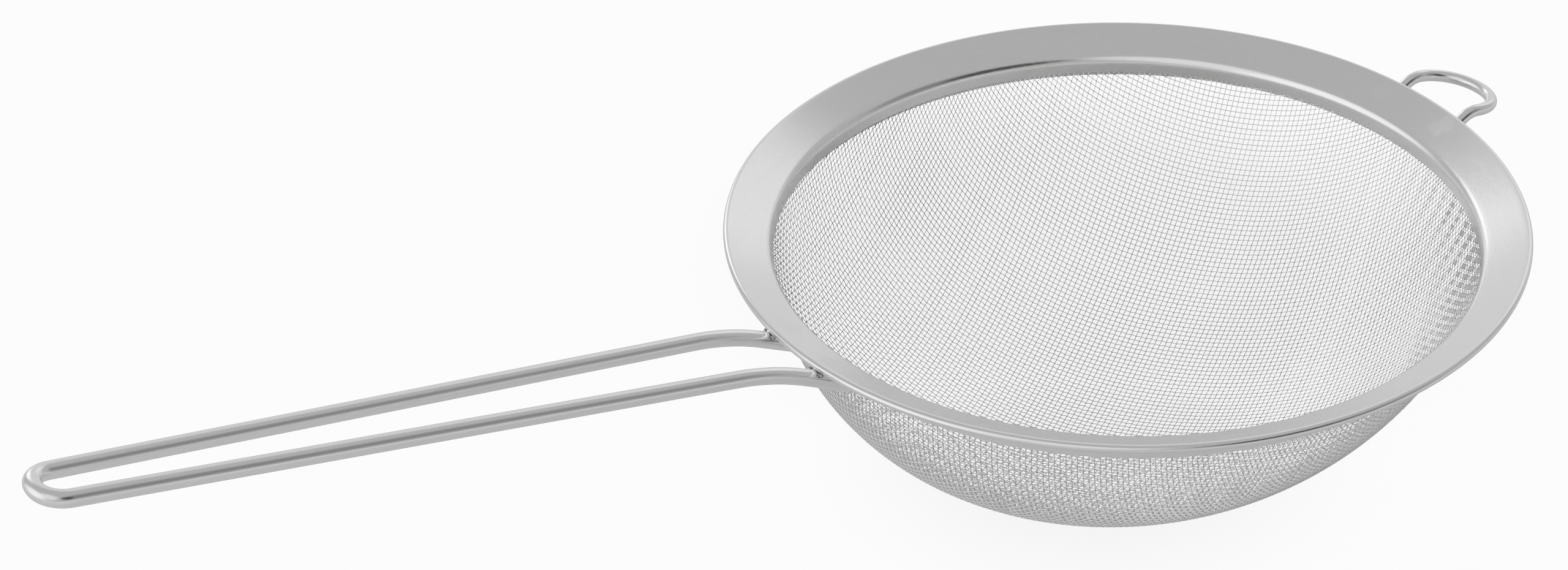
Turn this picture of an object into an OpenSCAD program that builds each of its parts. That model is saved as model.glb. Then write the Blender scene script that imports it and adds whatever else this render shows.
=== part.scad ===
// Wide-rim kitchen strainer: a pressed sheet rim, a woven wire bowl clamped to its collar
// by a ring, a long bent-wire handle and a short wire hook that rests on a pot opposite it.
// The origin is on the rim's axis, in the plane that the rolled edge rests on.
// The handle points to -X, the hook to +X, and the bowl opens to +Z.

/* [Rim] */
// Diameter over the rolled edge
rim_d = 200; // [160:1:240]
// Thickness of the rim's sheet
sheet_t = 0.5; // [0.4:0.05:0.6]
// Diameter of the rolled edge, seen in section
roll_d = 2.1; // [1.8:0.1:2.5]
// Width of the rim, from its outer edge in to the opening
rim_w = 12.2; // [10:0.1:15]
// Slope of the flange down towards the opening, in degrees
flange_slope = 24; // [16:1:28]
// Radius of the bend from flange to collar, on the upper face
bend_r = 2.8; // [2:0.1:3.5]
// Height of the straight part of the collar
collar_h = 2.3; // [1.8:0.1:4]

/* [Bowl] */
// Depth of the mesh below the collar
bowl_depth = 57; // [46:1:68]
// How many times larger the bottom's radius is than that of one round cap as deep and wide
bottom_ease = 1.18; // [1.05:0.01:1.5]
// The shoulder's radius as a share of that cap's
shoulder_share = 0.72; // [0.56:0.01:0.9]
// How far the bottom of the bowl lies off the axis, towards the handle
bowl_lean = 9; // [0:0.5:11]
// Diameter of the wire that the mesh is woven from
mesh_wire_d = 0.32; // [0.26:0.02:0.4]

/* [Mesh ring] */
// Thickness of the ring's strip
ring_t = 0.4; // [0.3:0.05:0.6]
// How far the ring reaches below the collar
ring_drop = 1.5; // [1:0.1:2]
// Number of spot welds around the ring
weld_count = 12; // [8:1:16]

/* [Handle] */
// Diameter of the handle's wire
handle_wire_d = 4.2; // [3.4:0.1:5]
// How far the handle reaches beyond the rolled edge
handle_out = 189; // [150:1:230]
// Distance between the centres of the two wires at the rim
handle_w = 20.5; // [16:0.5:26]
// Distance between the centres of the two wires at the far end
handle_end_w = 11.8; // [9:0.2:15]
// Rise of the handle's long part, in degrees
handle_rise = 11.4; // [6:0.2:15]
// How much steeper than the flange the wires are where they pass under it, in degrees
root_steeper = 4; // [1:0.5:8]
// Distance from the rolled edge out to the bend near the rim
handle_bend_out = 10.5; // [8:0.5:14]
// Radius of that bend
handle_bend_r = 70; // [50:5:84]

/* [Rest hook] */
// Diameter of the hook's wire
hook_wire_d = 3.2; // [2.6:0.1:4]
// Straight length of each leg between the hump and the round end
hook_flat = 0.5; // [0.2:0.1:5]
// Distance between the centres of the hook's two legs
hook_w = 22; // [18:0.5:27]
// How much steeper than the flange the legs are where they pass under it, in degrees
hook_steeper = 3; // [1:0.5:8]
// Fall of the loop towards its far end, in degrees
hook_fall = 11; // [8:1:14]
// Distance from the rolled edge out to the hump of the hook
hook_hump_out = 4.5; // [3.5:0.1:8]

/* [Hidden] */
$fn = 96;

steel = [0.80, 0.80, 0.79];
wire_steel = [0.72, 0.72, 0.72];
mesh_grey = [0.88, 0.88, 0.88];
weld_grey = [0.60, 0.59, 0.57];

// Clearance between pieces that are pressed or welded face to face
fit_gap = 0.02;
// Gap between the ring and the nearest edge of a wire's cut end
end_gap = 0.2;
// Overlap that joins two shapes of one solid
join = 0.01;
// How much wider than the wire the balls that join its bends are
ball_proud = 0.03;
// Straight length left at the middle of a loop's round end
loop_gap = 0.6;
// Height of the mesh's hem between collar and ring
hem_h = collar_h + 0.3;
// Share of a full turn that the rolled edge curls through, in degrees
roll_turn = 290;

// Rim section: X is the distance from the axis and Y the height
roll_c = [rim_d/2 - roll_d/2, roll_d/2];
collar_in = rim_d/2 - rim_w;
bend_c = [collar_in + bend_r, 0];
// The flange's upper face is tangent to the rolled edge and to the bend
flange_up = [-sin(flange_slope), cos(flange_slope)];
flange_in = [-cos(flange_slope), -sin(flange_slope)];
roll_top = roll_c + flange_up*roll_d/2;
flange_len = (roll_top[0] - (bend_c[0] + flange_up[0]*bend_r))/cos(flange_slope);
bend_z = roll_top[1] - flange_len*sin(flange_slope) - flange_up[1]*bend_r;
bend_at = [bend_c[0], bend_z];
collar_z = bend_z - collar_h;
collar_out = collar_in + sheet_t;

// Mesh: the cloth's hem is two wires thick, and its middle runs down from there
cloth_t = 2*mesh_wire_d;
hem_in = collar_out + fit_gap;
mesh_r = hem_in + cloth_t/2;
ring_in = hem_in + cloth_t + fit_gap;
ring_out = ring_in + ring_t;
ring_top = collar_z + hem_h;
ring_z = collar_z - ring_drop;

// Bowl section: a shoulder arc runs into a bottom arc, tangent to it
cap_r = (pow(mesh_r, 2) + pow(bowl_depth, 2))/(2*bowl_depth);
bottom_r = bottom_ease*cap_r;
shoulder_r = shoulder_share*cap_r;
bottom_c = [0, collar_z - bowl_depth + bottom_r];
edge_drop = collar_z - bottom_c[1];
arc_gap = bottom_r - shoulder_r;
edge_dist = norm([mesh_r, edge_drop]);
edge_term = (pow(edge_dist, 2) + pow(arc_gap, 2) - pow(shoulder_r, 2))/(2*arc_gap*edge_dist);
tangent_a = atan2(edge_drop, mesh_r) + asin(edge_term);
shoulder_c = [arc_gap*sin(tangent_a), bottom_c[1] - arc_gap*cos(tangent_a)];
edge_a = atan2(mesh_r - shoulder_c[0], shoulder_c[1] - collar_z);
lean = bowl_lean/bowl_depth;

// How far out a circle of radius r about the axis is at distance y from the middle plane
function out_at(r, y) = sqrt(pow(r, 2) - pow(y, 2));

// Height of the axis of a wire of diameter d that rises at angle a under the rim, at distance s
// out, where it touches the rolled edge at distance w from the middle plane
function under_rim(s, w, a, d) =
    roll_c[1] - ((roll_d + d)/2 + fit_gap)/cos(a) + (s - out_at(roll_c[0], w))*tan(a);

function unit(v) = v/norm(v);

// Handle: the corners of the bent wire, from one end round to the other
root_rise = flange_slope + root_steeper;
handle_tip = rim_d/2 + handle_out - handle_wire_d/2;
toe = (handle_w - handle_end_w)/2/(handle_tip - ring_out);
function handle_y(s) = handle_w/2 - toe*(s - ring_out);
root_x = out_at(ring_out, (handle_w - handle_wire_d)/2) + end_gap
    + handle_wire_d/2*sin(root_rise);
handle_bend_at = rim_d/2 + handle_bend_out;
handle_bend_z = under_rim(handle_bend_at, handle_y(roll_c[0]), root_rise, handle_wire_d);
tip_z = handle_bend_z + (handle_tip - handle_bend_at)*tan(handle_rise);
handle_half = [
    [-root_x, handle_y(root_x), under_rim(root_x, handle_y(roll_c[0]), root_rise, handle_wire_d)],
    [-handle_bend_at, handle_y(handle_bend_at), handle_bend_z],
    [-handle_tip, handle_end_w/2, tip_z]
];

// Hook: the corners of the bent wire, from one end round to the other
hook_rise = flange_slope + hook_steeper;
hook_root_x = out_at(ring_out, (hook_w - hook_wire_d)/2) + end_gap
    + hook_wire_d/2*sin(hook_rise);
hook_hump_at = rim_d/2 + hook_hump_out;
hook_hump_z = under_rim(hook_hump_at, hook_w/2, hook_rise, hook_wire_d);
hook_hump_r = 7;
hook_leg = hook_hump_r*tan((hook_rise + hook_fall)/2) + hook_flat + hook_w/2 - loop_gap/2;
hook_tip = hook_hump_at + hook_leg*cos(hook_fall);
hook_tip_z = hook_hump_z - (hook_tip - hook_hump_at)*tan(hook_fall);
hook_half = [
    [hook_root_x, hook_w/2, under_rim(hook_root_x, hook_w/2, hook_rise, hook_wire_d)],
    [hook_hump_at, hook_w/2, hook_hump_z],
    [hook_tip, hook_w/2, hook_tip_z]
];

// A section ring: the part of an annulus between two angles, counted from +X
module arc_band(c, r_mid, t, a0, a1) {
    reach = 2*(r_mid + t);
    mid = (a0 + a1)/2;
    translate(c) intersection() {
        difference() {
            circle(r = r_mid + t/2);
            circle(r = r_mid - t/2);
        }
        polygon([
            [0, 0],
            reach*[cos(a0), sin(a0)],
            reach*[cos((a0 + mid)/2), sin((a0 + mid)/2)],
            reach*[cos(mid), sin(mid)],
            reach*[cos((a1 + mid)/2), sin((a1 + mid)/2)],
            reach*[cos(a1), sin(a1)]
        ]);
    }
}

module tube(r_in, r_out, z0, z1) {
    translate([0, 0, z0]) difference() {
        cylinder(r = r_out, h = z1 - z0);
        translate([0, 0, -1]) cylinder(r = r_in, h = z1 - z0 + 2);
    }
}

module rod(a, b, d) {
    v = b - a;
    len = norm(v);
    translate(a)
        rotate([0, acos(v[2]/len), atan2(v[1], v[0])])
            cylinder(d = d, h = len);
}

// Bend of radius r at corner p, where the wire arrives along u and leaves along v
module wire_bend(p, u, v, r, d) {
    turn = acos(u*v);
    n = unit(v - (v*u)*u);
    c = p - u*r*tan(turn/2) + n*r;
    k = cross(u, n);
    multmatrix([
        [-n[0], u[0], k[0], c[0]],
        [-n[1], u[1], k[1], c[1]],
        [-n[2], u[2], k[2], c[2]],
        [0, 0, 0, 1]
    ])
        rotate_extrude(angle = turn) translate([r, 0]) circle(d = d);
}

function corner_cut(p, i, r) =
    i == 0 || i == len(p) - 1 ? 0
    : r[i]*tan(acos(unit(p[i] - p[i - 1])*unit(p[i + 1] - p[i]))/2);

// Round wire through the corners p, with bend radius r[i] at corner i.
// A ball at each end of a bend makes one solid of the lengths that meet there.
module bent_wire(p, r, d) {
    for (i = [0:len(p) - 2]) {
        u = unit(p[i + 1] - p[i]);
        a = p[i] + u*corner_cut(p, i, r);
        b = p[i + 1] - u*corner_cut(p, i + 1, r);
        rod(a, b, d);
        if (i > 0) translate(a) sphere(d = d + ball_proud, $fn = 48);
        if (i < len(p) - 2) translate(b) sphere(d = d + ball_proud, $fn = 48);
    }
    for (i = [1:len(p) - 2])
        wire_bend(p[i], unit(p[i] - p[i - 1]), unit(p[i + 1] - p[i]), r[i], d);
}

function mirror_y(p) = [p[0], -p[1], p[2]];

// The end bend's radius for which its two quarter turns nearly meet at the middle
function end_bend_r(half) =
    let (u = unit(half[2] - half[1]), turn = acos(u*[0, -1, 0]))
    (half[2][1] - loop_gap/2)/tan(turn/2);

module loop_wire(half, bend, d) {
    tip = end_bend_r(half);
    bent_wire(
        [half[0], half[1], half[2], mirror_y(half[2]), mirror_y(half[1]), mirror_y(half[0])],
        [0, bend, tip, tip, bend, 0],
        d
    );
}

module rim() {
    color(steel) rotate_extrude() {
        arc_band(roll_c, (roll_d - sheet_t)/2, sheet_t,
            90 + flange_slope - roll_turn, 90 + flange_slope);
        arc_band(bend_at, bend_r - sheet_t/2, sheet_t, 90 + flange_slope, 180);
        polygon([
            roll_top - flange_in*join,
            roll_top + flange_in*(flange_len + join),
            roll_top + flange_in*(flange_len + join) - flange_up*sheet_t,
            roll_top - flange_in*join - flange_up*sheet_t
        ]);
        translate([collar_in, collar_z]) square([sheet_t, collar_h + join]);
    }
}

module mesh_ring() {
    color(steel) tube(ring_in, ring_out, ring_z, ring_top);
}

// The bowl's section, drawn about its own axis. It and the hem are one wire thick, because the
// cloth holds far less metal than a solid sheet, and its crests stand half a wire proud of them.
module bowl_section() {
    intersection() {
        arc_band(bottom_c, bottom_r, mesh_wire_d, 270 - 0.01, 270 + tangent_a);
        translate([0, -2*bottom_r]) square(4*bottom_r);
    }
    arc_band(shoulder_c, shoulder_r, mesh_wire_d, 270 + tangent_a - 0.01, 270 + edge_a);
}

module mesh_bowl() {
    color(mesh_grey) {
        tube(mesh_r - mesh_wire_d/2, mesh_r + mesh_wire_d/2, collar_z - 0.2, ring_top, $fn = 360);
        translate([0, 0, collar_z])
            multmatrix([[1, 0, lean, 0], [0, 1, 0, 0], [0, 0, 1, 0], [0, 0, 0, 1]])
                translate([0, 0, -collar_z])
                    rotate_extrude($fn = 360) bowl_section($fn = 360);
    }
}

module handle() {
    color(wire_steel) loop_wire(handle_half, handle_bend_r, handle_wire_d);
}

module rest_hook() {
    color(wire_steel) loop_wire(hook_half, hook_hump_r, hook_wire_d);
}

// Weld metal of one wire leg, as drops on each side of it: at its cut end against the ring,
// and in the corner where it crosses under the rolled edge
module leg_welds(p, q, d, a) {
    out = p[0]/abs(p[0]);
    bead_r = 0.28*d;
    drop_r = 0.5;
    // Where the wire crosses under the rolled edge
    leg_y = p[1] + (q[1] - p[1])*(roll_c[0] - abs(p[0]))/(abs(q[0]) - abs(p[0]));
    down = roll_d/2 + drop_r + fit_gap;
    reach = d/2 + drop_r + 2*fit_gap;
    for (side = [-1, 1]) {
        bead_y = p[1] + side*(d/2 + fit_gap + bead_r);
        translate([out*out_at(ring_out + fit_gap + bead_r, bead_y), bead_y, p[2]])
            sphere(r = bead_r, $fn = 48);
        // The drop touches the rolled edge, so its height beside the wire follows from there
        first_y = leg_y + side*2*sqrt(drop_r*d/2);
        shift = out_at(roll_c[0], first_y) - out_at(roll_c[0], leg_y);
        drop_y = leg_y + side*sqrt(pow(reach, 2) - pow(d/2 - drop_r - shift*sin(a), 2));
        translate([
            out*(out_at(roll_c[0], drop_y) + down*sin(a)),
            drop_y,
            roll_c[1] - down*cos(a)
        ])
            sphere(r = drop_r, $fn = 32);
    }
}

module both_sides() {
    children();
    mirror([0, 1, 0]) children();
}

module handle_welds() {
    color(weld_grey) both_sides() leg_welds(handle_half[0], handle_half[1], handle_wire_d, root_rise);
}

module hook_welds() {
    color(weld_grey) both_sides() leg_welds(hook_half[0], hook_half[1], hook_wire_d, hook_rise);
}

// Flattened spot welds on the ring's outer face
module ring_spot_welds() {
    spot_d = 1.6;
    spot_h = 0.12;
    spot_z = (collar_z + ring_top)/2;
    color(weld_grey)
        for (i = [0:weld_count - 1])
            rotate([0, 0, (i + 0.5)*360/weld_count])
                translate([ring_out + 0.01, 0, spot_z])
                    rotate([0, 90, 0]) cylinder(d = spot_d, h = spot_h);
}

rim();
mesh_ring();
mesh_bowl();
handle();
rest_hook();
handle_welds();
hook_welds();
ring_spot_welds();
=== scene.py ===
"""Visual model of a wide-rim wire strainer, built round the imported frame."""

import logging
import math
from dataclasses import dataclass, field
from enum import Enum

import bpy
import numpy as np
from mathutils import Matrix, Vector


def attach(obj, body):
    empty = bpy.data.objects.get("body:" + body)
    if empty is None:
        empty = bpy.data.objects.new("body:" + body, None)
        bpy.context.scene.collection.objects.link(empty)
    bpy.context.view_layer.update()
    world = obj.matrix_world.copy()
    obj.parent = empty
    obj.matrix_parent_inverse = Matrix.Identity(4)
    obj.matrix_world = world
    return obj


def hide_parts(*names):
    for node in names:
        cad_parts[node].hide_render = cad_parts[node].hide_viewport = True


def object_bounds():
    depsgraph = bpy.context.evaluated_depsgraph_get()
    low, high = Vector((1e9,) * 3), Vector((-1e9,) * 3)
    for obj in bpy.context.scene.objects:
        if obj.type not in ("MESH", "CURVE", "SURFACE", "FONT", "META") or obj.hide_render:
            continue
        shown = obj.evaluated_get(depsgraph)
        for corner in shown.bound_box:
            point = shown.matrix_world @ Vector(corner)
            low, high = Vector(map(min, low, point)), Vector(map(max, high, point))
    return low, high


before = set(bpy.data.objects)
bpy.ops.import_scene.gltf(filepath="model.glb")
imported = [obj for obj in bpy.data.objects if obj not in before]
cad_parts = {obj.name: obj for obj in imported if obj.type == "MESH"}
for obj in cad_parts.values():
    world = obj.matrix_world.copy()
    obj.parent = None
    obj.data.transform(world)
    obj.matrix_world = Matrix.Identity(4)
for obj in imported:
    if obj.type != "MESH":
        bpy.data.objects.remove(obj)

log = logging.getLogger("strainer")
MM = 0.001
CAD_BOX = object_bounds()


class Family(Enum):
    """The two directions of wire in the cloth."""

    WARP = 1
    WEFT = -1


@dataclass(frozen=True)
class RimSizes:
    """Sizes of the pressed rim in millimetres, as in the part's source."""

    rim_d: float = 200.0
    sheet_t: float = 0.5
    roll_d: float = 2.1
    rim_w: float = 12.2
    flange_slope: float = 24.0
    bend_r: float = 2.8
    collar_h: float = 2.3
    hem_h: float = 2.6
    roll_turn: float = 290.0
    fit_gap: float = 0.02
    ring_t: float = 0.4
    end_gap: float = 0.2
    wire_d: float = 0.32

    @property
    def slope(self) -> float:
        """Slope of the flange in radians."""
        return math.radians(self.flange_slope)

    @property
    def roll_c(self) -> np.ndarray:
        """Centre of the rolled edge in the section plane."""
        return np.array([self.rim_d / 2 - self.roll_d / 2, self.roll_d / 2])

    @property
    def collar_in(self) -> float:
        """Inner radius of the collar."""
        return self.rim_d / 2 - self.rim_w

    @property
    def bend_at(self) -> np.ndarray:
        """Centre of the bend between flange and collar."""
        up = np.array([-math.sin(self.slope), math.cos(self.slope)])
        top = self.roll_c + up * self.roll_d / 2
        x = self.collar_in + self.bend_r
        length = (top[0] - (x + up[0] * self.bend_r)) / math.cos(self.slope)
        return np.array([x, top[1] - length * math.sin(self.slope) - up[1] * self.bend_r])

    @property
    def collar_z(self) -> float:
        """Height of the collar's lower edge."""
        return float(self.bend_at[1] - self.collar_h)

    @property
    def mesh_r(self) -> float:
        """Radius of the middle of the cloth in its hem."""
        return self.collar_in + self.sheet_t + self.fit_gap + self.wire_d

    @property
    def ring_out(self) -> float:
        """Outer radius of the mesh ring."""
        return self.mesh_r + self.wire_d + self.fit_gap + self.ring_t


RIM = RimSizes()


def unit(v: np.ndarray) -> np.ndarray:
    """Returns v with length 1."""
    return v / np.linalg.norm(v)


def linked(name: str, mesh: bpy.types.Mesh) -> bpy.types.Object:
    """Puts a mesh in the scene as an object at the origin."""
    obj = bpy.data.objects.new(name, mesh)
    bpy.context.scene.collection.objects.link(obj)
    return obj


# ---------------------------------------------------------------- shader groups


def new_group(name: str, inputs: dict[str, float], outputs: dict[str, str]) -> bpy.types.NodeTree:
    """Makes an empty shader group.

    Args:
        name: Name of the group.
        inputs: Name and default of each number that it takes.
        outputs: Name and socket type of each value that it gives.

    Returns:
        The group's node tree.
    """
    tree = bpy.data.node_groups.new(name, "ShaderNodeTree")
    for key, value in inputs.items():
        socket = tree.interface.new_socket(key, in_out="INPUT", socket_type="NodeSocketFloat")
        socket.default_value = value
    for key, kind in outputs.items():
        tree.interface.new_socket(key, in_out="OUTPUT", socket_type=kind)
    return tree


class Wiring:
    """Short hand for adding and joining nodes in one tree."""

    def __init__(self, tree: bpy.types.NodeTree) -> None:
        """Keeps the tree that nodes are added to."""
        self.tree = tree

    def node(self, kind: str, **settings: object) -> bpy.types.Node:
        """Adds a node and sets its properties."""
        node = self.tree.nodes.new(kind)
        for key, value in settings.items():
            setattr(node, key, value)
        return node

    def feed(self, socket: bpy.types.NodeSocket, value: object) -> None:
        """Sets a socket to a number or joins it to another socket."""
        if isinstance(value, bpy.types.NodeSocket):
            self.tree.links.new(value, socket)
        else:
            socket.default_value = value

    def math(self, operation: str, *values: object) -> bpy.types.NodeSocket:
        """Adds a Math node and returns its result."""
        node = self.node("ShaderNodeMath", operation=operation)
        for socket, value in zip(node.inputs, values):
            self.feed(socket, value)
        return node.outputs[0]

    def vector(self, operation: str, *values: object) -> bpy.types.Node:
        """Adds a Vector Math node."""
        node = self.node("ShaderNodeVectorMath", operation=operation)
        for socket, value in zip(node.inputs, values):
            self.feed(socket, value)
        return node

    def span(self, value: object, lo: float, hi: float, to_lo: float, to_hi: float,
             smooth: bool = False) -> bpy.types.NodeSocket:
        """Maps a value from one range to another and returns the result."""
        node = self.node("ShaderNodeMapRange",
                         interpolation_type="SMOOTHSTEP" if smooth else "LINEAR")
        for socket, number in zip(node.inputs, (value, lo, hi, to_lo, to_hi)):
            self.feed(socket, number)
        return node.outputs[0]

    def noise(self, vector: object, scale: float, detail: float = 2.0,
              roughness: float = 0.5) -> bpy.types.NodeSocket:
        """Adds a Noise Texture and returns its value."""
        node = self.node("ShaderNodeTexNoise")
        self.feed(node.inputs["Vector"], vector)
        self.feed(node.inputs["Scale"], scale)
        self.feed(node.inputs["Detail"], detail)
        self.feed(node.inputs["Roughness"], roughness)
        return node.outputs[0]


def grain_group() -> bpy.types.NodeTree:
    """Makes the group for fine marks drawn out along one direction.

    Returns:
        A group that takes a vector already stretched along the marks, and gives Mark
        (0 to 1), Tone (slow change over the surface) and Normal.
    """
    tree = new_group("metal_grain", {"Fine": 900.0, "Slow": 30.0, "Depth": 0.1},
                     {"Mark": "NodeSocketFloat", "Tone": "NodeSocketFloat",
                      "Normal": "NodeSocketVector"})
    tree.interface.new_socket("Along", in_out="INPUT", socket_type="NodeSocketVector")
    w = Wiring(tree)
    given, gives = w.node("NodeGroupInput"), w.node("NodeGroupOutput")
    fine = w.noise(given.outputs["Along"], given.outputs["Fine"], 3.0, 0.6)
    slow = w.noise(given.outputs["Along"], given.outputs["Slow"], 2.0, 0.5)
    bump = w.node("ShaderNodeBump")
    w.feed(bump.inputs["Strength"], given.outputs["Depth"])
    w.feed(bump.inputs["Distance"], 0.00002)
    w.feed(bump.inputs["Height"], fine)
    w.feed(gives.inputs["Mark"], fine)
    w.feed(gives.inputs["Tone"], slow)
    w.feed(gives.inputs["Normal"], bump.outputs[0])
    return tree


def spot_group() -> bpy.types.NodeTree:
    """Makes the group for the dull bloom that welding leaves on the sheet.

    Returns:
        A group that gives a mask, 1 at the weld and 0 beyond its reach, on both sides of
        the object's mirror plane.
    """
    tree = new_group("weld_bloom", {"At X": 0.0, "At Y": 0.0, "Reach": 0.006},
                     {"Mask": "NodeSocketFloat"})
    w = Wiring(tree)
    given, gives = w.node("NodeGroupInput"), w.node("NodeGroupOutput")
    place = w.node("ShaderNodeSeparateXYZ")
    w.feed(place.inputs[0], w.node("ShaderNodeTexCoord").outputs["Object"])
    dx = w.math("SUBTRACT", place.outputs[0], given.outputs["At X"])
    dy = w.math("SUBTRACT", w.math("ABSOLUTE", place.outputs[1]), given.outputs["At Y"])
    away = w.math("SQRT", w.math("ADD", w.math("POWER", dx, 2.0), w.math("POWER", dy, 2.0)))
    share = w.math("DIVIDE", away, given.outputs["Reach"])
    blotch = w.noise(w.node("ShaderNodeTexCoord").outputs["Object"], 420.0, 3.0)
    ragged = w.math("ADD", share, w.span(blotch, 0.3, 0.7, -0.35, 0.35))
    w.feed(gives.inputs["Mask"], w.span(ragged, 0.35, 1.0, 1.0, 0.0, smooth=True))
    return tree


GRAIN = grain_group()
BLOOM = spot_group()


@dataclass(frozen=True)
class Metal:
    """A steel finish whose fine marks run along one direction.

    Attributes:
        name: Name of the material.
        colour: Base colour.
        darker: Base colour in the marks and dull patches.
        roughness: Lowest and highest roughness.
        fine: Scale of the fine marks.
        slow: Scale of the slow changes of tone.
        depth: Strength of the marks' relief.
        stretch: Factor on X, Y and Z before the marks are drawn.
        round_axis: True where the marks run round the vertical axis.
        blooms: Place and reach of each dull weld patch, in metres.
    """

    name: str
    colour: tuple[float, float, float]
    darker: tuple[float, float, float]
    roughness: tuple[float, float]
    fine: float
    slow: float
    depth: float
    stretch: tuple[float, float, float] = (1.0, 1.0, 1.0)
    round_axis: bool = False
    blooms: tuple[tuple[float, float, float], ...] = ()

    def along(self, w: Wiring) -> bpy.types.NodeSocket:
        """Returns the coordinates in which the marks are drawn out."""
        place = w.node("ShaderNodeTexCoord").outputs["Object"]
        if self.round_axis:
            parts = w.node("ShaderNodeSeparateXYZ")
            w.feed(parts.inputs[0], place)
            flat = w.node("ShaderNodeCombineXYZ")
            w.feed(flat.inputs[0], parts.outputs[0])
            w.feed(flat.inputs[1], parts.outputs[1])
            radius = w.vector("LENGTH", flat.outputs[0]).outputs["Value"]
            turned = w.node("ShaderNodeCombineXYZ")
            w.feed(turned.inputs[0], radius)
            spread = w.vector("SCALE", w.vector("NORMALIZE", flat.outputs[0]).outputs[0])
            w.feed(spread.inputs["Scale"], 0.02)
            w.feed(turned.inputs[2], parts.outputs[2])
            place = w.vector("ADD", turned.outputs[0], spread.outputs[0]).outputs[0]
        node = w.vector("MULTIPLY", place)
        node.inputs[1].default_value = self.stretch
        return node.outputs[0]

    def make(self) -> bpy.types.Material:
        """Builds the material.

        Returns:
            The node material.
        """
        material = bpy.data.materials.new(self.name)
        material.use_nodes = True
        w = Wiring(material.node_tree)
        shader = material.node_tree.nodes["Principled BSDF"]
        grain = w.node("ShaderNodeGroup", node_tree=GRAIN)
        w.feed(grain.inputs["Along"], self.along(w))
        grain.inputs["Fine"].default_value = self.fine
        grain.inputs["Slow"].default_value = self.slow
        grain.inputs["Depth"].default_value = self.depth
        mask = w.math("MULTIPLY", w.span(grain.outputs["Mark"], 0.3, 0.7, 0.0, 1.0),
                      w.span(grain.outputs["Tone"], 0.3, 0.7, 0.4, 1.0))
        for x, y, reach in self.blooms:
            bloom = w.node("ShaderNodeGroup", node_tree=BLOOM)
            bloom.inputs["At X"].default_value = x
            bloom.inputs["At Y"].default_value = y
            bloom.inputs["Reach"].default_value = reach
            mask = w.math("MAXIMUM", mask, bloom.outputs["Mask"])
        mix = w.node("ShaderNodeMix", data_type="RGBA")
        w.feed(mix.inputs["Factor"], mask)
        mix.inputs["A"].default_value = (*self.colour, 1.0)
        mix.inputs["B"].default_value = (*self.darker, 1.0)
        w.feed(shader.inputs["Base Color"], mix.outputs["Result"])
        w.feed(shader.inputs["Roughness"],
               w.span(mask, 0.0, 1.0, self.roughness[0], self.roughness[1]))
        w.feed(shader.inputs["Normal"], grain.outputs["Normal"])
        shader.inputs["Metallic"].default_value = 1.0
        return material


@dataclass(frozen=True)
class Finishes:
    """Every finish on the strainer."""

    sheet: Metal = Metal("satin_sheet", (0.86, 0.86, 0.855), (0.76, 0.76, 0.755), (0.15, 0.27),
                         2600.0, 240.0, 0.25, (1.0, 1.0, 1.0), True,
                         ((-0.0945, 0.0103, 0.0062), (0.0945, 0.011, 0.005)))
    strip: Metal = Metal("ring_strip", (0.82, 0.82, 0.815), (0.7, 0.7, 0.7), (0.28, 0.4),
                         2400.0, 180.0, 0.25, (1.0, 1.0, 1.0), True)
    handle: Metal = Metal("drawn_wire", (0.86, 0.86, 0.86), (0.76, 0.76, 0.76), (0.17, 0.27),
                          1800.0, 160.0, 0.12, (0.03, 1.0, 1.0))
    hook: Metal = Metal("bent_hook_wire", (0.86, 0.86, 0.86), (0.76, 0.76, 0.76), (0.15, 0.25),
                        1800.0, 160.0, 0.12, (0.1, 1.0, 1.0))
    cloth: Metal = Metal("cloth_wire", (0.66, 0.66, 0.66), (0.48, 0.48, 0.48), (0.22, 0.36),
                         700.0, 60.0, 0.05)
    # Weld metal, made darker so the weld drops also paint the shade of the dark gaps where the
    # wires go under the rim.
    weld: Metal = Metal("weld_metal", (0.34, 0.33, 0.32), (0.16, 0.155, 0.15), (0.34, 0.6),
                        1500.0, 300.0, 0.8)


# ---------------------------------------------------------------- geometry nodes


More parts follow.
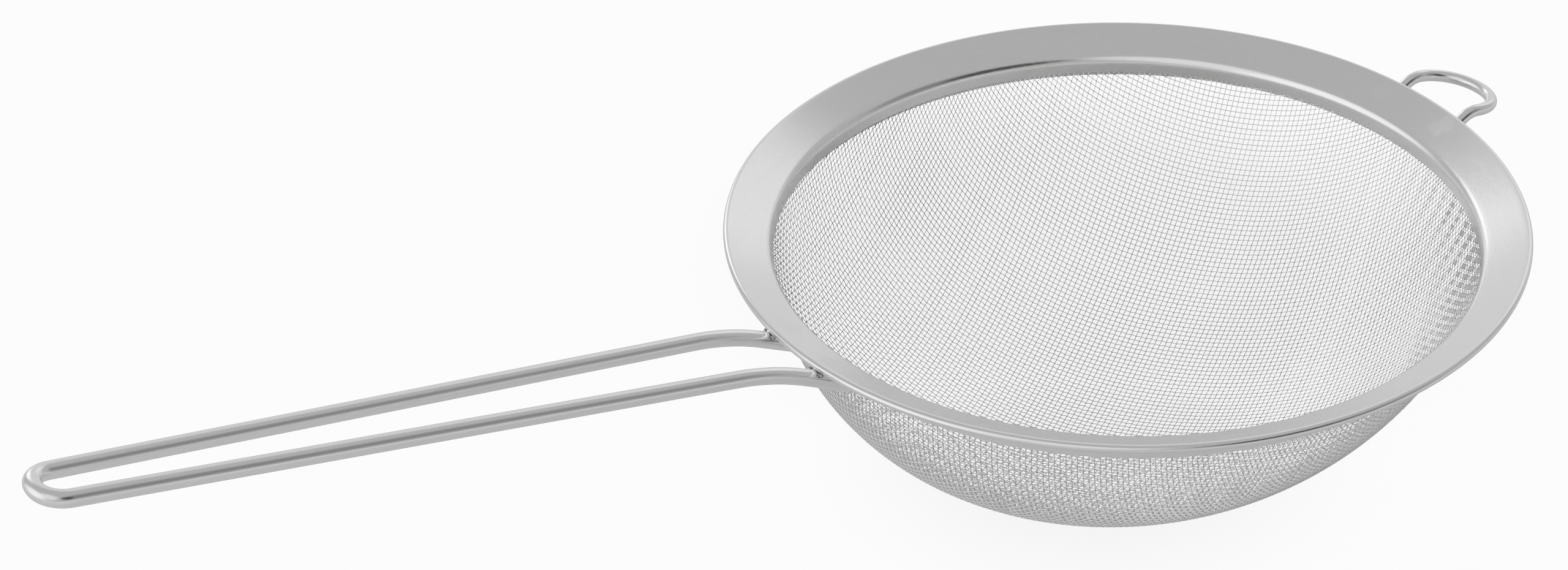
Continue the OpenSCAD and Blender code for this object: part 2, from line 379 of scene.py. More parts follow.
def round_wire_tree() -> bpy.types.NodeTree:
    """Makes the tree that turns chains of edges into round wires.

    Each point may carry two attributes: "up", the direction off the surface, and "crest",
    how far along it the wire lies, from -1 to 1. "ripple" moves it a second time.

    Returns:
        The tree, with named inputs for its sizes.
    """
    tree = bpy.data.node_groups.new("round_wire", "GeometryNodeTree")
    face = tree.interface
    face.new_socket("Geometry", in_out="OUTPUT", socket_type="NodeSocketGeometry")
    face.new_socket("Geometry", in_out="INPUT", socket_type="NodeSocketGeometry")
    for name, kind, value in (("Wire diameter", "Float", 0.001), ("Sides", "Int", 6),
                              ("Crest height", "Float", 0.0), ("Ripple height", "Float", 0.0)):
        face.new_socket(name, in_out="INPUT", socket_type="NodeSocket" + kind).default_value = value
    face.new_socket("Finish", in_out="INPUT", socket_type="NodeSocketMaterial")
    w = Wiring(tree)
    given, gives = w.node("NodeGroupInput"), w.node("NodeGroupOutput")

    def attribute(name: str, kind: str) -> bpy.types.NodeSocket:
        """Reads a point attribute."""
        node = w.node("GeometryNodeInputNamedAttribute", data_type=kind)
        node.inputs["Name"].default_value = name
        return node.outputs["Attribute"]

    lift = w.math("ADD", w.math("MULTIPLY", attribute("crest", "FLOAT"),
                                given.outputs["Crest height"]),
                  w.math("MULTIPLY", attribute("ripple", "FLOAT"),
                         given.outputs["Ripple height"]))
    offset = w.vector("SCALE", attribute("up", "FLOAT_VECTOR"))
    w.feed(offset.inputs["Scale"], lift)
    moved = w.node("GeometryNodeSetPosition")
    w.feed(moved.inputs["Geometry"], given.outputs["Geometry"])
    w.feed(moved.inputs["Offset"], offset.outputs[0])
    chain = w.node("GeometryNodeMeshToCurve")
    w.feed(chain.inputs[0], moved.outputs[0])
    ring = w.node("GeometryNodeCurvePrimitiveCircle")
    w.feed(ring.inputs["Resolution"], given.outputs["Sides"])
    w.feed(ring.inputs["Radius"], w.math("MULTIPLY", given.outputs["Wire diameter"], 0.5))
    sweep = w.node("GeometryNodeCurveToMesh")
    w.feed(sweep.inputs["Curve"], chain.outputs[0])
    w.feed(sweep.inputs["Profile Curve"], ring.outputs[0])
    sweep.inputs["Fill Caps"].default_value = True
    smooth = w.node("GeometryNodeSetShadeSmooth")
    w.feed(smooth.inputs[0], sweep.outputs[0])
    real = w.node("GeometryNodeRealizeInstances")
    w.feed(real.inputs[0], smooth.outputs[0])
    dress = w.node("GeometryNodeSetMaterial")
    w.feed(dress.inputs["Geometry"], real.outputs[0])
    w.feed(dress.inputs["Material"], given.outputs["Finish"])
    w.feed(gives.inputs[0], dress.outputs[0])
    return tree


WIRE_TREE = round_wire_tree()


@dataclass
class Chain:
    """Points of one or more wires, in millimetres.

    Attributes:
        points: Places of the points.
        up: Direction off the surface at each point.
        crest: Over or under, from 1 to -1.
        ripple: Share of the ripple height.
        edges: Pairs of point numbers.
        count: How many points the chain has so far.
    """

    points: list[np.ndarray] = field(default_factory=list)
    up: list[np.ndarray] = field(default_factory=list)
    crest: list[np.ndarray] = field(default_factory=list)
    ripple: list[np.ndarray] = field(default_factory=list)
    edges: list[np.ndarray] = field(default_factory=list)
    count: int = 0

    def add(self, points: np.ndarray, up: np.ndarray, crest: np.ndarray,
            ripple: np.ndarray) -> None:
        """Adds one wire.

        Args:
            points: Its points, in order.
            up: Direction off the surface at each.
            crest: Over or under at each.
            ripple: Ripple at each.
        """
        n = len(points)
        self.points.append(points)
        self.up.append(up)
        self.crest.append(crest)
        self.ripple.append(ripple)
        self.edges.append(np.column_stack([np.arange(n - 1), np.arange(1, n)]) + self.count)
        self.count += n

    def swept(self, name: str, wire_d: float, sides: int, crest_h: float, ripple_h: float,
              finish: bpy.types.Material) -> bpy.types.Object:
        """Turns the chain into round wires.

        Args:
            name: Name of the piece.
            wire_d: Wire diameter in millimetres.
            sides: Sides of the wire's section.
            crest_h: Height of a crest over the cloth's middle, in millimetres.
            ripple_h: Height of a ripple, in millimetres.
            finish: Material of the wire.

        Returns:
            The piece, as a plain mesh.
        """
        mesh = bpy.data.meshes.new(name)
        places = np.vstack(self.points) * MM
        mesh.from_pydata(places.tolist(), np.vstack(self.edges).tolist(), [])
        up = mesh.attributes.new("up", "FLOAT_VECTOR", "POINT")
        up.data.foreach_set("vector", np.vstack(self.up).astype(np.float32).ravel())
        for key, values in (("crest", self.crest), ("ripple", self.ripple)):
            put = mesh.attributes.new(key, "FLOAT", "POINT")
            put.data.foreach_set("value", np.concatenate(values).astype(np.float32))
        obj = linked(name, mesh)
        modifier = obj.modifiers.new("wire", "NODES")
        modifier.node_group = WIRE_TREE
        values = {"Wire diameter": wire_d * MM, "Sides": sides, "Crest height": crest_h * MM,
                  "Ripple height": ripple_h * MM, "Finish": finish}
        for item in WIRE_TREE.interface.items_tree:
            if item.in_out == "INPUT" and item.name in values:
                modifier[item.identifier] = values[item.name]
        graph = bpy.context.evaluated_depsgraph_get()
        plain = bpy.data.meshes.new_from_object(obj.evaluated_get(graph))
        obj.modifiers.clear()
        obj.data = plain
        plain.name = name
        log.info("%s: %d faces", name, len(plain.polygons))
        return obj


# ---------------------------------------------------------------- the pieces


@dataclass(frozen=True)
class Gathers:
    """The small folds that the cloth is left with below the rim.

    Attributes:
        start: Depth below the collar in millimetres over which they grow.
        hold: Depth to which they stay at their height.
        fade: Depth over which they then die away.
        least: Their share away from the strongest place.
        turn: Angle of the strongest place round the axis, in radians.
        width: How far round it they stay strong.
        fine: Fine folds in a full turn.
        sway: Share of a fold by which the fine ones draw together and apart.
        sways: How often they do so in a full turn.
        coarse: Coarse folds in a full turn.
        phase: Shift of the coarse folds.
        share: Share of the fine folds in the height.
    """

    start: float = 3.0
    hold: float = 4.0
    fade: float = 12.0
    least: float = 0.12
    turn: float = -0.4
    width: float = 0.5
    fine: int = 112
    sway: float = 1.5
    sways: int = 5
    coarse: int = 47
    phase: float = 1.3
    share: float = 0.75

    def height(self, below: np.ndarray, turn: np.ndarray) -> np.ndarray:
        """Share of the folds' height.

        Args:
            below: Depth below the collar in millimetres.
            turn: Angle round the axis in radians.

        Returns:
            The share at each place, from -1 to 1.
        """
        near = np.clip(below / self.start, 0, 1)
        near = near * np.exp(-np.maximum(below - self.hold, 0) / self.fade)
        strong = np.exp(-((turn - self.turn) / self.width) ** 2)
        side = self.least + (1 - self.least) * strong
        fine = np.sin(self.fine * turn + self.sway * np.sin(self.sways * turn))
        coarse = np.sin(self.coarse * turn + self.phase)
        return near * side * (fine * self.share + coarse * (1 - self.share))


@dataclass
class Cloth:
    """The woven bowl: a plain square weave pushed into a leaning two-arc bowl.

    Attributes:
        depth: Depth of the bowl below the collar.
        bottom_ease: Bottom radius over that of one round cap.
        shoulder_share: Shoulder radius as a share of the cap's.
        lean: How far the bottom lies off the axis, towards the handle.
        wire_d: Diameter of the wire.
        pitch: Distance between neighbouring wires.
        warp_turn: Direction of the warp at the bottom, in degrees from +X.
        weft_turn: Direction of the weft there.
        ripple_h: Height of the gathers near the rim.
        sides: Sides of the wire's section.
        reach: Most wires on each side of the middle one.
        spare: Height above the hem up to which the cloth is laid before it is cut.
        trim: Distance of the cut below the hem's top.
        parts: Pieces that each direction of wire is split into.
        gathers: The folds below the rim.
    """

    depth: float = 57.0
    bottom_ease: float = 1.18
    shoulder_share: float = 0.72
    lean: float = 9.0
    wire_d: float = 0.32
    pitch: float = 1.4
    warp_turn: float = 33.0
    weft_turn: float = 123.0
    ripple_h: float = 0.2
    sides: int = 6
    reach: int = 96
    spare: float = 2.0
    trim: float = 0.2
    parts: int = 3
    gathers: Gathers = Gathers()

    def __post_init__(self) -> None:
        """Works out the arcs of the bowl's section."""
        z0, r = RIM.collar_z, RIM.mesh_r
        cap = (r**2 + self.depth**2) / (2 * self.depth)
        self.bottom_r = self.bottom_ease * cap
        self.shoulder_r = self.shoulder_share * cap
        self.bottom_z = z0 - self.depth + self.bottom_r
        gap, drop = self.bottom_r - self.shoulder_r, z0 - self.bottom_z
        dist = math.hypot(r, drop)
        term = (dist**2 + gap**2 - self.shoulder_r**2) / (2 * gap * dist)
        turn = math.atan2(drop, r) + math.asin(term)
        self.shoulder = (gap * math.sin(turn), self.bottom_z - gap * math.cos(turn))
        self.join_r = self.bottom_r * math.sin(turn)
        self.lean_rate = self.lean / self.depth

    def height(self, r: np.ndarray) -> tuple[np.ndarray, np.ndarray]:
        """Height of the bowl's middle at radius r, and its slope there."""
        low = np.sqrt(np.maximum(self.bottom_r**2 - r**2, 1.0))
        out = r - self.shoulder[0]
        high = np.sqrt(np.maximum(self.shoulder_r**2 - out**2, 1.0))
        inner = r < self.join_r
        z = np.where(inner, self.bottom_z - low, self.shoulder[1] - high)
        slope = np.where(inner, r / low, out / high)
        return z, slope

    def place(self, x: np.ndarray, y: np.ndarray) -> tuple[np.ndarray, np.ndarray, np.ndarray]:
        """Puts plan coordinates on the leaning bowl.

        Args:
            x: Plan X on the bowl as it is before it leans.
            y: Plan Y.

        Returns:
            The points and their derivatives along x and y.
        """
        r = np.maximum(np.hypot(x, y), 1e-9)
        z, slope = self.height(r)
        zx, zy = slope * x / r, slope * y / r
        k = self.lean_rate
        point = np.stack([x + k * (z - RIM.collar_z), y, z], -1)
        along_x = np.stack([1 + k * zx, np.zeros_like(x), zx], -1)
        along_y = np.stack([k * zy, np.ones_like(x), zy], -1)
        return point, along_x, along_y

    def spine(self, turn: float, sign: int) -> np.ndarray:
        """Finds the crossings on the middle wire of one direction.

        Args:
            turn: Direction of the wire at the bottom, in degrees from +X.
            sign: 1 to follow it forwards and -1 to follow it backwards.

        Returns:
            Plan points from the bottom up to above the hem, a pitch apart on the bowl.
        """
        a = math.radians(turn)
        way = np.array([math.cos(a), math.sin(a)]) * sign
        got, r = [np.zeros(2)], 0.0
        for _ in range(self.reach):
            here = self.place(*(way[:, None] * r))[0][0]
            lo, hi = r, r + self.pitch
            for _ in range(30):
                mid = (lo + hi) / 2
                there = self.place(*(way[:, None] * mid))[0][0]
                lo, hi = (mid, hi) if np.linalg.norm(there - here) < self.pitch else (lo, mid)
            r = (lo + hi) / 2
            got.append(way * r)
            if self.height(np.array([r]))[0][0] > RIM.collar_z + RIM.hem_h + self.spare:
                break
        return np.array(got)

    def net(self) -> np.ndarray:
        """Lays the cloth on the bowl, with every cell side a pitch long.

        Returns:
            Plan coordinates of the crossings as an array of size (2n+1, 2n+1, 2), with
            NaN where the cloth has ended.
        """
        n = self.reach
        grid = np.full((2 * n + 1, 2 * n + 1, 2), np.nan)
        for sign in (1, -1):
            for k, p in enumerate(self.spine(self.warp_turn, sign)):
                grid[n + sign * k, n] = p
            for k, p in enumerate(self.spine(self.weft_turn, sign)):
                grid[n, n + sign * k] = p
        top = RIM.collar_z + RIM.hem_h + self.spare
        for total in range(2, 2 * n + 1):
            i = np.arange(1, total)
            j = total - i
            keep = (i <= n) & (j <= n)
            i, j = i[keep], j[keep]
            for si in (1, -1):
                for sj in (1, -1):
                    a = grid[n + si * (i - 1), n + sj * j]
                    b = grid[n + si * i, n + sj * (j - 1)]
                    c = grid[n + si * (i - 1), n + sj * (j - 1)]
                    live = ~np.isnan(a[:, 0] + b[:, 0] + c[:, 0])
                    if not live.any():
                        continue
                    at = self.crossing(a[live], b[live], c[live])
                    at[self.height(np.hypot(at[:, 0], at[:, 1]))[0] > top] = np.nan
                    grid[n + si * i[live], n + sj * j[live]] = at
        return grid

    def crossing(self, a: np.ndarray, b: np.ndarray, c: np.ndarray) -> np.ndarray:
        """Finds the fourth corner of each cell.

        Args:
            a: Plan coordinates of one neighbour of the crossing.
            b: Plan coordinates of the other.
            c: Plan coordinates of the corner opposite the crossing.

        Returns:
            Plan coordinates of the crossings, a pitch from both a and b.
        """
        p = a + b - c
        pa, pb = self.place(*a.T)[0], self.place(*b.T)[0]
        for _ in range(12):
            q, qx, qy = self.place(*p.T)
            f1 = ((q - pa) ** 2).sum(-1) - self.pitch**2
            f2 = ((q - pb) ** 2).sum(-1) - self.pitch**2
            rows = [np.stack([(2 * (q - end) * qx).sum(-1), (2 * (q - end) * qy).sum(-1)], -1)
                    for end in (pa, pb)]
            m = np.stack(rows, -2)
            det = m[:, 0, 0] * m[:, 1, 1] - m[:, 0, 1] * m[:, 1, 0]
            det = np.where(np.abs(det) < 1e-6, 1e-6, det)
            dx = (m[:, 1, 1] * f1 - m[:, 0, 1] * f2) / det
            dy = (m[:, 0, 0] * f2 - m[:, 1, 0] * f1) / det
            step = np.clip(np.stack([dx, dy], -1), -0.5, 0.5)
            p = p - step
        return p

    def wires(self, plan: np.ndarray, crest: np.ndarray, chain: Chain) -> None:
        """Adds one wire of the net to a chain, cut off just below the hem's top.

        Args:
            plan: Plan coordinates of its crossings.
            crest: Over or under at each.
            chain: Chain that takes it.
        """
        point, along_x, along_y = self.place(*plan.T)
        up = np.cross(along_x, along_y)
        up /= np.linalg.norm(up, axis=1)[:, None]
        top = RIM.collar_z + RIM.hem_h - self.trim
        inside = point[:, 2] < top
        if inside.sum() < 3:
            return
        first, last = np.flatnonzero(inside)[[0, -1]]
        full = np.column_stack([point, up, crest, plan])
        rows = [full[first:last + 1]]
        for end, step in ((first, -1), (last, 1)):
            beyond = end + step
            if 0 <= beyond < len(full):
                share = (top - full[end, 2]) / (full[beyond, 2] - full[end, 2])
                if share > 0.05:
                    row = (full[end] + share * (full[beyond] - full[end]))[None]
                    rows = [row, *rows] if step < 0 else [*rows, row]
        rows = np.vstack(rows)
        point, up, crest, plan = rows[:, :3], rows[:, 3:6], rows[:, 6], rows[:, 7:9]
        r = np.hypot(plan[:, 0], plan[:, 1])
        hem = point[:, 2] > RIM.collar_z
        flat = plan / r[:, None]
        point[hem, 0:2] = flat[hem] * RIM.mesh_r
        up[hem] = np.column_stack([-flat[hem], np.zeros(hem.sum())])
        chain.add(point, up, crest, self.gather(point, plan))

    def gather(self, point: np.ndarray, plan: np.ndarray) -> np.ndarray:
        """Share of the gathers' height at each point of a wire."""
        turn = np.arctan2(plan[:, 1], plan[:, 0])
        return self.gathers.height(RIM.collar_z - point[:, 2], turn)

    def build(self, finish: bpy.types.Material) -> list[bpy.types.Object]:
        """Weaves the cloth.

        Args:
            finish: Material of the wire.

        Returns:
            The pieces, a few for each direction of wire.
        """
        grid = self.net()
        made = []
        for family in Family:
            # the wires of both families run along the first index of net
            net = grid if family is Family.WARP else grid.transpose(1, 0, 2)
            laid = (~np.isnan(net[:, :, 0])).sum(0)
            found = np.flatnonzero(laid > 4)
            weights = np.cumsum(laid[found])
            for part in range(self.parts):
                chain = Chain()
                for k, weight in zip(found, weights):
                    if min(self.parts - 1, int(self.parts * (weight - 1) / weights[-1])) != part:
                        continue
                    run = net[:, k]
                    live = np.flatnonzero(~np.isnan(run[:, 0]))
                    over = np.where((live + k) % 2 == 0, 1.0, -1.0) * family.value
                    self.wires(run[live], over, chain)
                made.append(chain.swept(f"cloth_{family.name.lower()}_{part + 1}", self.wire_d,
                                        self.sides, self.wire_d / 2, self.ripple_h, finish))
        return made


def bent(corners: list[np.ndarray], radii: list[float], steps: int = 28) -> np.ndarray:
    """Rounds the corners of a wire's path.

    Args:
        corners: The corners, in order.
        radii: Bend radius at each corner.
        steps: Points on each bend.

    Returns:
        Points along the wire's axis.
    """
    out = [corners[0]]
    for i in range(1, len(corners) - 1):
        u, v = unit(corners[i] - corners[i - 1]), unit(corners[i + 1] - corners[i])
        turn = math.acos(float(np.clip(u @ v, -1, 1)))
        n = unit(v - (v @ u) * u)
        r = radii[i]
        centre = corners[i] - u * r * math.tan(turn / 2) + n * r
        last, start = out[-1], centre - n * r
        long = max(2, int(np.linalg.norm(start - last) / 4))
        out += [last + (start - last) * k / long for k in range(1, long)]
        out += [centre + r * (math.sin(t) * u - math.cos(t) * n)
                for t in np.linspace(0, turn, steps)]
    last = out[-1]
    out += [last + (corners[-1] - last) * k / 6 for k in range(1, 7)]
    return np.array(out)


@dataclass
class LoopWire:
    """A round wire bent back on itself, with both ends under the rim.

    Attributes:
        name: Name of the piece.
        wire_d: Diameter of the wire.
        way: -1 where the loop points to -X, and 1 to +X.
        root_rise: Rise of the legs under the rim, in degrees.
        bend_out: Distance from the rolled edge out to the bend.
        bend_r: Radius of that bend.
        root_w: Distance between the legs' centres at the rim.
        end_w: Distance between them at the far end.
        rise: Rise of the legs beyond the bend, in degrees.
        tip: Distance of the loop's end from the rim's axis, to the wire's centre.
        half_gap: Half the straight between the two bends of the loop's end.
        sides: Sides of the wire's section.
    """

    name: str
    wire_d: float
    way: int
    root_rise: float
    bend_out: float
    bend_r: float
    root_w: float
    end_w: float
    rise: float
    tip: float
    half_gap: float = 0.3
    sides: int = 40

    def leg_y(self, s: float) -> float:
        """Distance of a leg from the middle plane at distance s from the rim's axis."""
        toe = (self.root_w - self.end_w) / 2 / (self.tip - RIM.ring_out)
        return self.root_w / 2 - toe * (s - RIM.ring_out)

    def under_rim(self, s: float) -> float:
        """Height of the wire's axis at distance s from the rim's axis."""
        a = math.radians(self.root_rise)
        drop = ((RIM.roll_d + self.wire_d) / 2 + RIM.fit_gap) / math.cos(a)
        touch = math.sqrt(RIM.roll_c[0]**2 - self.leg_y(RIM.roll_c[0])**2)
        return RIM.roll_c[1] - drop + (s - touch) * math.tan(a)

    def path(self) -> np.ndarray:
        """Points along the wire's axis."""
        a = math.radians(self.root_rise)
        end_at = math.sqrt(RIM.ring_out**2 - ((self.root_w - self.wire_d) / 2)**2)
        root = end_at + RIM.end_gap + self.wire_d / 2 * math.sin(a)
        bend = RIM.rim_d / 2 + self.bend_out
        z = self.under_rim(bend)
        tip_z = z + (self.tip - bend) * math.tan(math.radians(self.rise))
        half = [np.array([self.way * s, self.leg_y(s), h])
                for s, h in ((root, self.under_rim(root)), (bend, z))]
        half.append(np.array([self.way * self.tip, self.end_w / 2, tip_z]))
        u = unit(half[2] - half[1])
        turn = math.acos(float(-u[1]))
        end_r = (half[2][1] - self.half_gap) / math.tan(turn / 2)
        flip = np.array([1.0, -1.0, 1.0])
        corners = [*half, *[h * flip for h in reversed(half)]]
        return bent(corners, [0, self.bend_r, end_r, end_r, self.bend_r, 0])

    def build(self, finish: bpy.types.Material) -> bpy.types.Object:
        """Sweeps the wire.

        Args:
            finish: Material of the wire.

        Returns:
            The piece.
        """
        chain = Chain()
        points = self.path()
        zero = np.zeros(len(points))
        chain.add(points, np.tile([0.0, 0.0, 1.0], (len(points), 1)), zero, zero)
        return chain.swept(self.name, self.wire_d, self.sides, 0.0, 0.0, finish)


@dataclass
class Rim:
    """The pressed rim: rolled edge, sloped flange, bend and collar.

    Attributes:
        sizes: Its sizes.
        around: Steps round the axis.
        roll_points: Points on the rolled edge.
        flange_steps: Steps along the flange.
        bend_points: Points on the bend.
        collar_steps: Steps down the collar.
    """

    sizes: RimSizes = RIM
    around: int = 320
    roll_points: int = 44
    flange_steps: int = 10
    bend_points: int = 16
    collar_steps: int = 4

    def middle(self) -> tuple[np.ndarray, np.ndarray]:
        """Middle line of the sheet in the section plane, and the way to its outer face.

        Returns:
            Points from the curled end to the collar's edge, and unit vectors off them.
        """
        s = self.sizes
        lean = 90 + s.flange_slope
        points, faces = [], []
        for a in np.radians(np.linspace(lean - s.roll_turn, lean, self.roll_points)):
            way = np.array([math.cos(a), math.sin(a)])
            points.append(s.roll_c + way * (s.roll_d - s.sheet_t) / 2)
            faces.append(way)
        up = np.array([-math.sin(s.slope), math.cos(s.slope)])
        start, bend = points[-1], s.bend_at + up * (s.bend_r - s.sheet_t / 2)
        for k in range(1, self.flange_steps):
            points.append(start + (bend - start) * k / self.flange_steps)
            faces.append(up)
        for a in np.radians(np.linspace(lean, 180, self.bend_points)):
            way = np.array([math.cos(a), math.sin(a)])
            points.append(s.bend_at + way * (s.bend_r - s.sheet_t / 2))
            faces.append(way)
        for k in range(1, self.collar_steps + 1):
            low = s.bend_at[1] - s.collar_h * k / self.collar_steps
            points.append(np.array([s.collar_in + s.sheet_t / 2, low]))
            faces.append(np.array([-1.0, 0.0]))
        return np.array(points), np.array(faces)

    def build(self, finish: bpy.types.Material) -> bpy.types.Object:
        """Turns the section round the axis.

        Args:
            finish: Material of the sheet.

        Returns:
            The piece.
        """
        points, faces = self.middle()
        t = self.sizes.sheet_t / 2
        outline = np.vstack([points + faces * t, (points - faces * t)[::-1]]) * MM
        n, m = len(outline), self.around
        turn = np.arange(m) * 2 * math.pi / m
        verts = np.stack([np.outer(np.cos(turn), outline[:, 0]),
                          np.outer(np.sin(turn), outline[:, 0]),
                          np.tile(outline[:, 1], (m, 1))], -1).reshape(-1, 3)
        quads = [(i * n + k, ((i + 1) % m) * n + k, ((i + 1) % m) * n + (k + 1) % n,
                  i * n + (k + 1) % n) for i in range(m) for k in range(n)]
        mesh = bpy.data.meshes.new("rim_sheet")
        mesh.from_pydata(verts.tolist(), [], quads)
        mesh.materials.append(finish)
        mesh.polygons.foreach_set("use_smooth", [True] * len(mesh.polygons))
        sharp_at = {0, n - 1, n // 2 - 1, n // 2}
        sharp = mesh.attributes.new("sharp_edge", "BOOLEAN", "EDGE")
        ends = np.zeros(len(mesh.edges) * 2, int)
        mesh.edges.foreach_get("vertices", ends)
        ends = ends.reshape(-1, 2) % n
        keep = [bool(a == b and a in sharp_at) for a, b in ends]
        sharp.data.foreach_set("value", keep)
        log.info("rim_sheet: %d faces", len(mesh.polygons))
        return linked("rim_sheet", mesh)


@dataclass
class Strainer:
    """The whole object, put together from its pieces.

    Attributes:
        cloth: The woven bowl.
        rim: The pressed rim.
        handle: The long loop that is held.
        hook: The short loop that rests on a pot.
    """

    cloth: Cloth = field(default_factory=Cloth)
    rim: Rim = field(default_factory=Rim)
    handle: LoopWire = field(default_factory=lambda: LoopWire(
        "handle_loop", wire_d=4.2, way=-1, root_rise=28.0, bend_out=10.5, bend_r=70.0,
        root_w=20.5, end_w=11.8, rise=11.4, tip=286.9))
    hook: LoopWire = field(default_factory=lambda: LoopWire(
        "hook_loop", wire_d=3.2, way=1, root_rise=27.0, bend_out=4.5, bend_r=7.0,
        root_w=22.0, end_w=22.0, rise=-11.0, tip=117.86))

    def build(self, finishes: Finishes) -> None:
        """Builds every piece and ties it to the frame.

        Args:
            finishes: The finishes to dress them in.
        """
        sheet, strip = finishes.sheet.make(), finishes.strip.make()
        rim = self.rim.build(sheet)
        handle = self.handle.build(finishes.handle.make())
        hook = self.hook.build(finishes.hook.make())
        cloth = self.cloth.build(finishes.cloth.make())
        # The weld finish is partly painted shade: dark so the welds read as the shaded gaps under
        # the rim.
        weld = finishes.weld.make()
        for piece, node, slot in ((rim, "rim", "rim_sheet"), (handle, "handle", "handle_wire"),
                                  (hook, "rest_hook", "hook_wire")):
            self.stand_for([piece], node, slot)
        self.stand_for(cloth, "mesh_bowl", "wire_cloth")
        for node, finish in (("mesh_ring", strip), ("handle_welds", weld), ("hook_welds", weld),
                             ("ring_spot_welds", weld)):
            self.dress(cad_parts[node], finish)

    @staticmethod
    def stand_for(pieces: list[bpy.types.Object], node: str, slot: str) -> None:
        """Lets pieces ride on the root in place of a CAD node."""
        for piece in pieces:
            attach(piece, "root")
            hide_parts(node)
        log.info("%s is shown by %d piece(s)", node, len(pieces))

    @staticmethod
    def dress(obj: bpy.types.Object, finish: bpy.types.Material) -> None:
        """Gives a CAD node a finish and leaves its shape as it is."""
        if obj.data.materials:
            for k in range(len(obj.data.materials)):
                obj.data.materials[k] = finish
        else:
            obj.data.materials.append(finish)


# ---------------------------------------------------------------- the studio


@dataclass(frozen=True)
class Glow:
    """A soft patch of light in the studio's walls.

    Attributes:
        way: Direction towards it.
        inner: Angle in degrees within which it is full.
        outer: Angle at which it ends.
        strength: Its radiance over the walls'.
    """

    way: tuple[float, float, float]
    inner: float
    outer: float
    strength: float


@dataclass(frozen=True)
class View:
    """Where the camera stands and what it sees.

    Attributes:
        right: Direction of the picture's right-hand side.
        up: Direction of its top, squared to right before it is used.
        place: Where the camera stands, in metres.
        sensor: Width of the sensor in millimetres.
        lens: Focal length in millimetres.
        clip: Nearest and farthest distance seen, in metres.
    """

    right: tuple[float, float, float] = (0.8348, -0.5499, -0.0279)
    up: tuple[float, float, float] = (0.3177, 0.4397, 0.8401)
    place: tuple[float, float, float] = (-0.48707, -0.60987, 0.48477)
    sensor: float = 36.0
    lens: float = 84.375
    clip: tuple[float, float] = (0.05, 100.0)


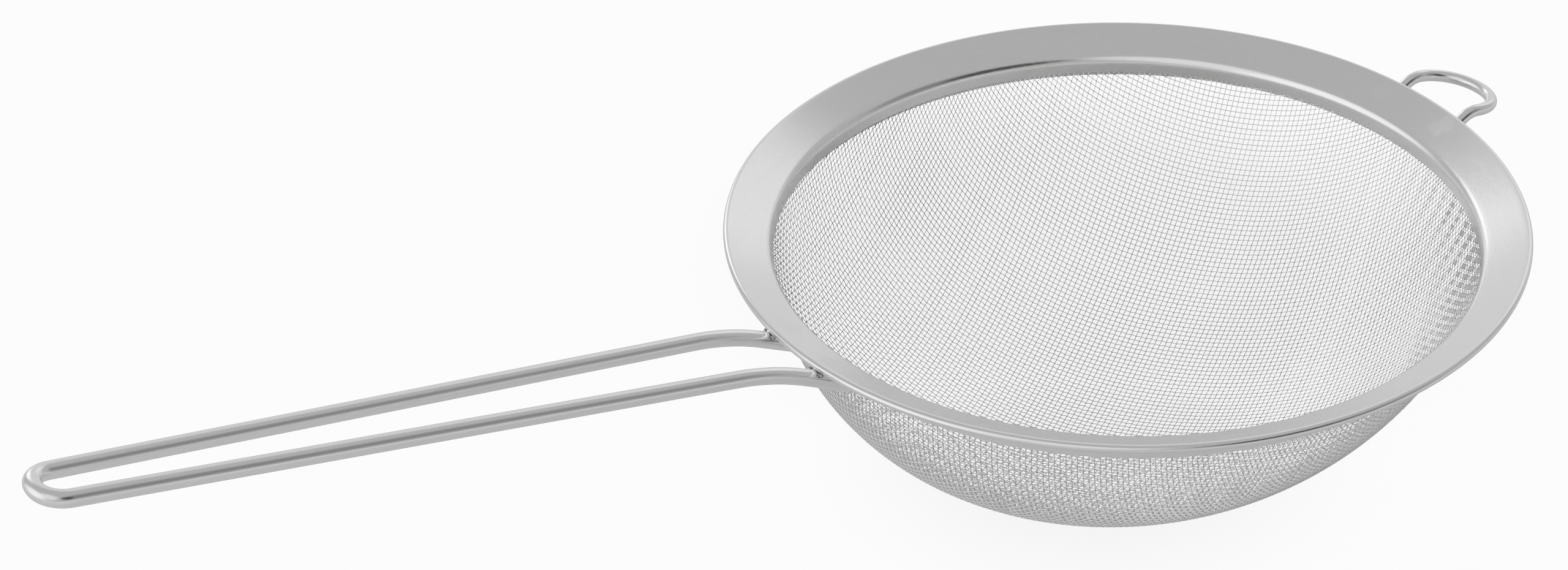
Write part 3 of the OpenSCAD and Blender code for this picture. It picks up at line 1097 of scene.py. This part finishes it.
@dataclass
class Studio:
    """Floor, light and camera.

    Attributes:
        walls: Radiance of the plain walls.
        darkest: Least radiance anywhere in the walls.
        glows: Patches of light in the walls.
        floor_grey: Base colour of the floor.
        floor_size: Half the floor's width in metres.
        below: Gap between the object's lowest point and the floor, in metres.
        seen_glow: The floor's glow to the camera.
        painted_shadows: Painted shadow patches in that glow: X, Y, inner and outer reach, in
            metres.
        painted_shadow_level: Share of the glow that is left in a painted shadow patch.
        far_glow: The floor's glow to all other rays, away from the object.
        far_reach: Where that glow starts and where it is full, in metres.
        view: The camera.
    """

    walls: float = 0.62
    darkest: float = 0.08
    glows: tuple[Glow, ...] = (
        Glow((0.09, 0.92, 0.39), 3.0, 11.0, 20.0),
        Glow((0.8, 0.4, 0.47), 6.0, 18.0, 1.4),
        Glow((0.64, 0.76, 0.08), 26.0, 54.0, 0.85),
        Glow((-0.7, -0.38, 0.6), 12.0, 34.0, 1.5),
        Glow((-0.93, 0.3, 0.12), 12.0, 42.0, 6.0),
        Glow((0.45, -0.72, 0.5), 8.0, 30.0, -0.36),
        Glow((0.02, -0.85, 0.53), 8.0, 24.0, -0.55),
    )
    floor_grey: float = 0.6
    floor_size: float = 30.0
    below: float = 0.0004
    seen_glow: float = 12.0
    # Painted shadow: patches where the floor's glow to the camera is dimmed, under and behind the
    # bowl.
    painted_shadows: tuple[tuple[float, float, float, float], ...] = (
        (0.048, 0.075, 0.052, 0.122), (-0.009, 0.0, 0.02, 0.08))
    painted_shadow_level: float = 0.5
    far_glow: float = 0.45
    far_reach: tuple[float, float] = (0.15, 0.7)
    view: View = View()

    def light(self) -> None:
        """Lights the studio with soft walls."""
        world = bpy.data.worlds.new("studio")
        bpy.context.scene.world = world
        world.use_nodes = True
        w = Wiring(world.node_tree)
        back = world.node_tree.nodes["Background"]
        way = w.vector("NORMALIZE", w.node("ShaderNodeTexCoord").outputs["Generated"]).outputs[0]
        total = self.walls
        for glow in self.glows:
            near = w.vector("DOT_PRODUCT", way)
            near.inputs[1].default_value = Vector(glow.way).normalized()
            patch = w.span(near.outputs["Value"], math.cos(math.radians(glow.outer)),
                           math.cos(math.radians(glow.inner)), 0.0, glow.strength, smooth=True)
            total = w.math("ADD", total, patch)
        w.feed(back.inputs["Strength"], w.math("MAXIMUM", total, self.darkest))
        back.inputs["Color"].default_value = (1.0, 1.0, 1.0, 1.0)

    def lay_floor(self) -> None:
        """Lays a pale floor under the bowl, with painted shadows in its glow to the camera."""
        z = CAD_BOX[0].z - self.below
        size = self.floor_size
        mesh = bpy.data.meshes.new("floor")
        mesh.from_pydata([(-size, -size, z), (size, -size, z), (size, size, z), (-size, size, z)],
                         [], [(0, 1, 2, 3)])
        floor = linked("floor", mesh)
        material = bpy.data.materials.new("pale_floor")
        material.use_nodes = True
        shader = material.node_tree.nodes["Principled BSDF"]
        shader.inputs["Base Color"].default_value = (*[self.floor_grey] * 3, 1.0)
        shader.inputs["Roughness"].default_value = 0.9
        shader.inputs["Specular IOR Level"].default_value = 0.1
        shader.inputs["Emission Color"].default_value = (1.0, 1.0, 1.0, 1.0)
        w = Wiring(material.node_tree)
        seen = w.node("ShaderNodeLightPath").outputs["Is Camera Ray"]
        place = w.node("ShaderNodeTexCoord").outputs["Object"]
        bright = self.seen_glow
        # Each patch paints a soft shadow into the floor's glow to the camera, darker under and
        # behind the bowl.
        for x, y, inner, outer in self.painted_shadows:
            away = w.vector("DISTANCE", place)
            away.inputs[1].default_value = (x, y, z)
            painted_shadow = w.span(away.outputs["Value"], inner, outer, self.painted_shadow_level, 1.0,
                           smooth=True)
            bright = w.math("MINIMUM", bright, w.math("MULTIPLY", painted_shadow, self.seen_glow))
        out = w.vector("LENGTH", place).outputs["Value"]
        low = w.span(out, *self.far_reach, 0.0, self.far_glow, smooth=True)
        glow = w.math("ADD", low, w.math("MULTIPLY", seen, bright))
        w.feed(shader.inputs["Emission Strength"], glow)
        mesh.materials.append(material)

    def aim(self) -> None:
        """Places the camera."""
        data = bpy.data.cameras.new("camera")
        data.sensor_width = self.view.sensor
        data.lens = self.view.lens
        data.clip_start, data.clip_end = self.view.clip
        camera = bpy.data.objects.new("camera", data)
        bpy.context.scene.collection.objects.link(camera)
        right, up = Vector(self.view.right), Vector(self.view.up)
        back = right.cross(up).normalized()
        up = back.cross(right).normalized()
        right.normalize()
        turn = Matrix((right, up, back)).transposed().to_4x4()
        turn.translation = Vector(self.view.place)
        camera.matrix_world = turn
        bpy.context.scene.camera = camera


def main() -> None:
    """Builds the studio and the strainer."""
    logging.basicConfig(level=logging.INFO, format="%(message)s")
    studio = Studio()
    studio.aim()
    studio.lay_floor()
    studio.light()
    Strainer().build(Finishes())


if __name__ == "__main__":
    main()
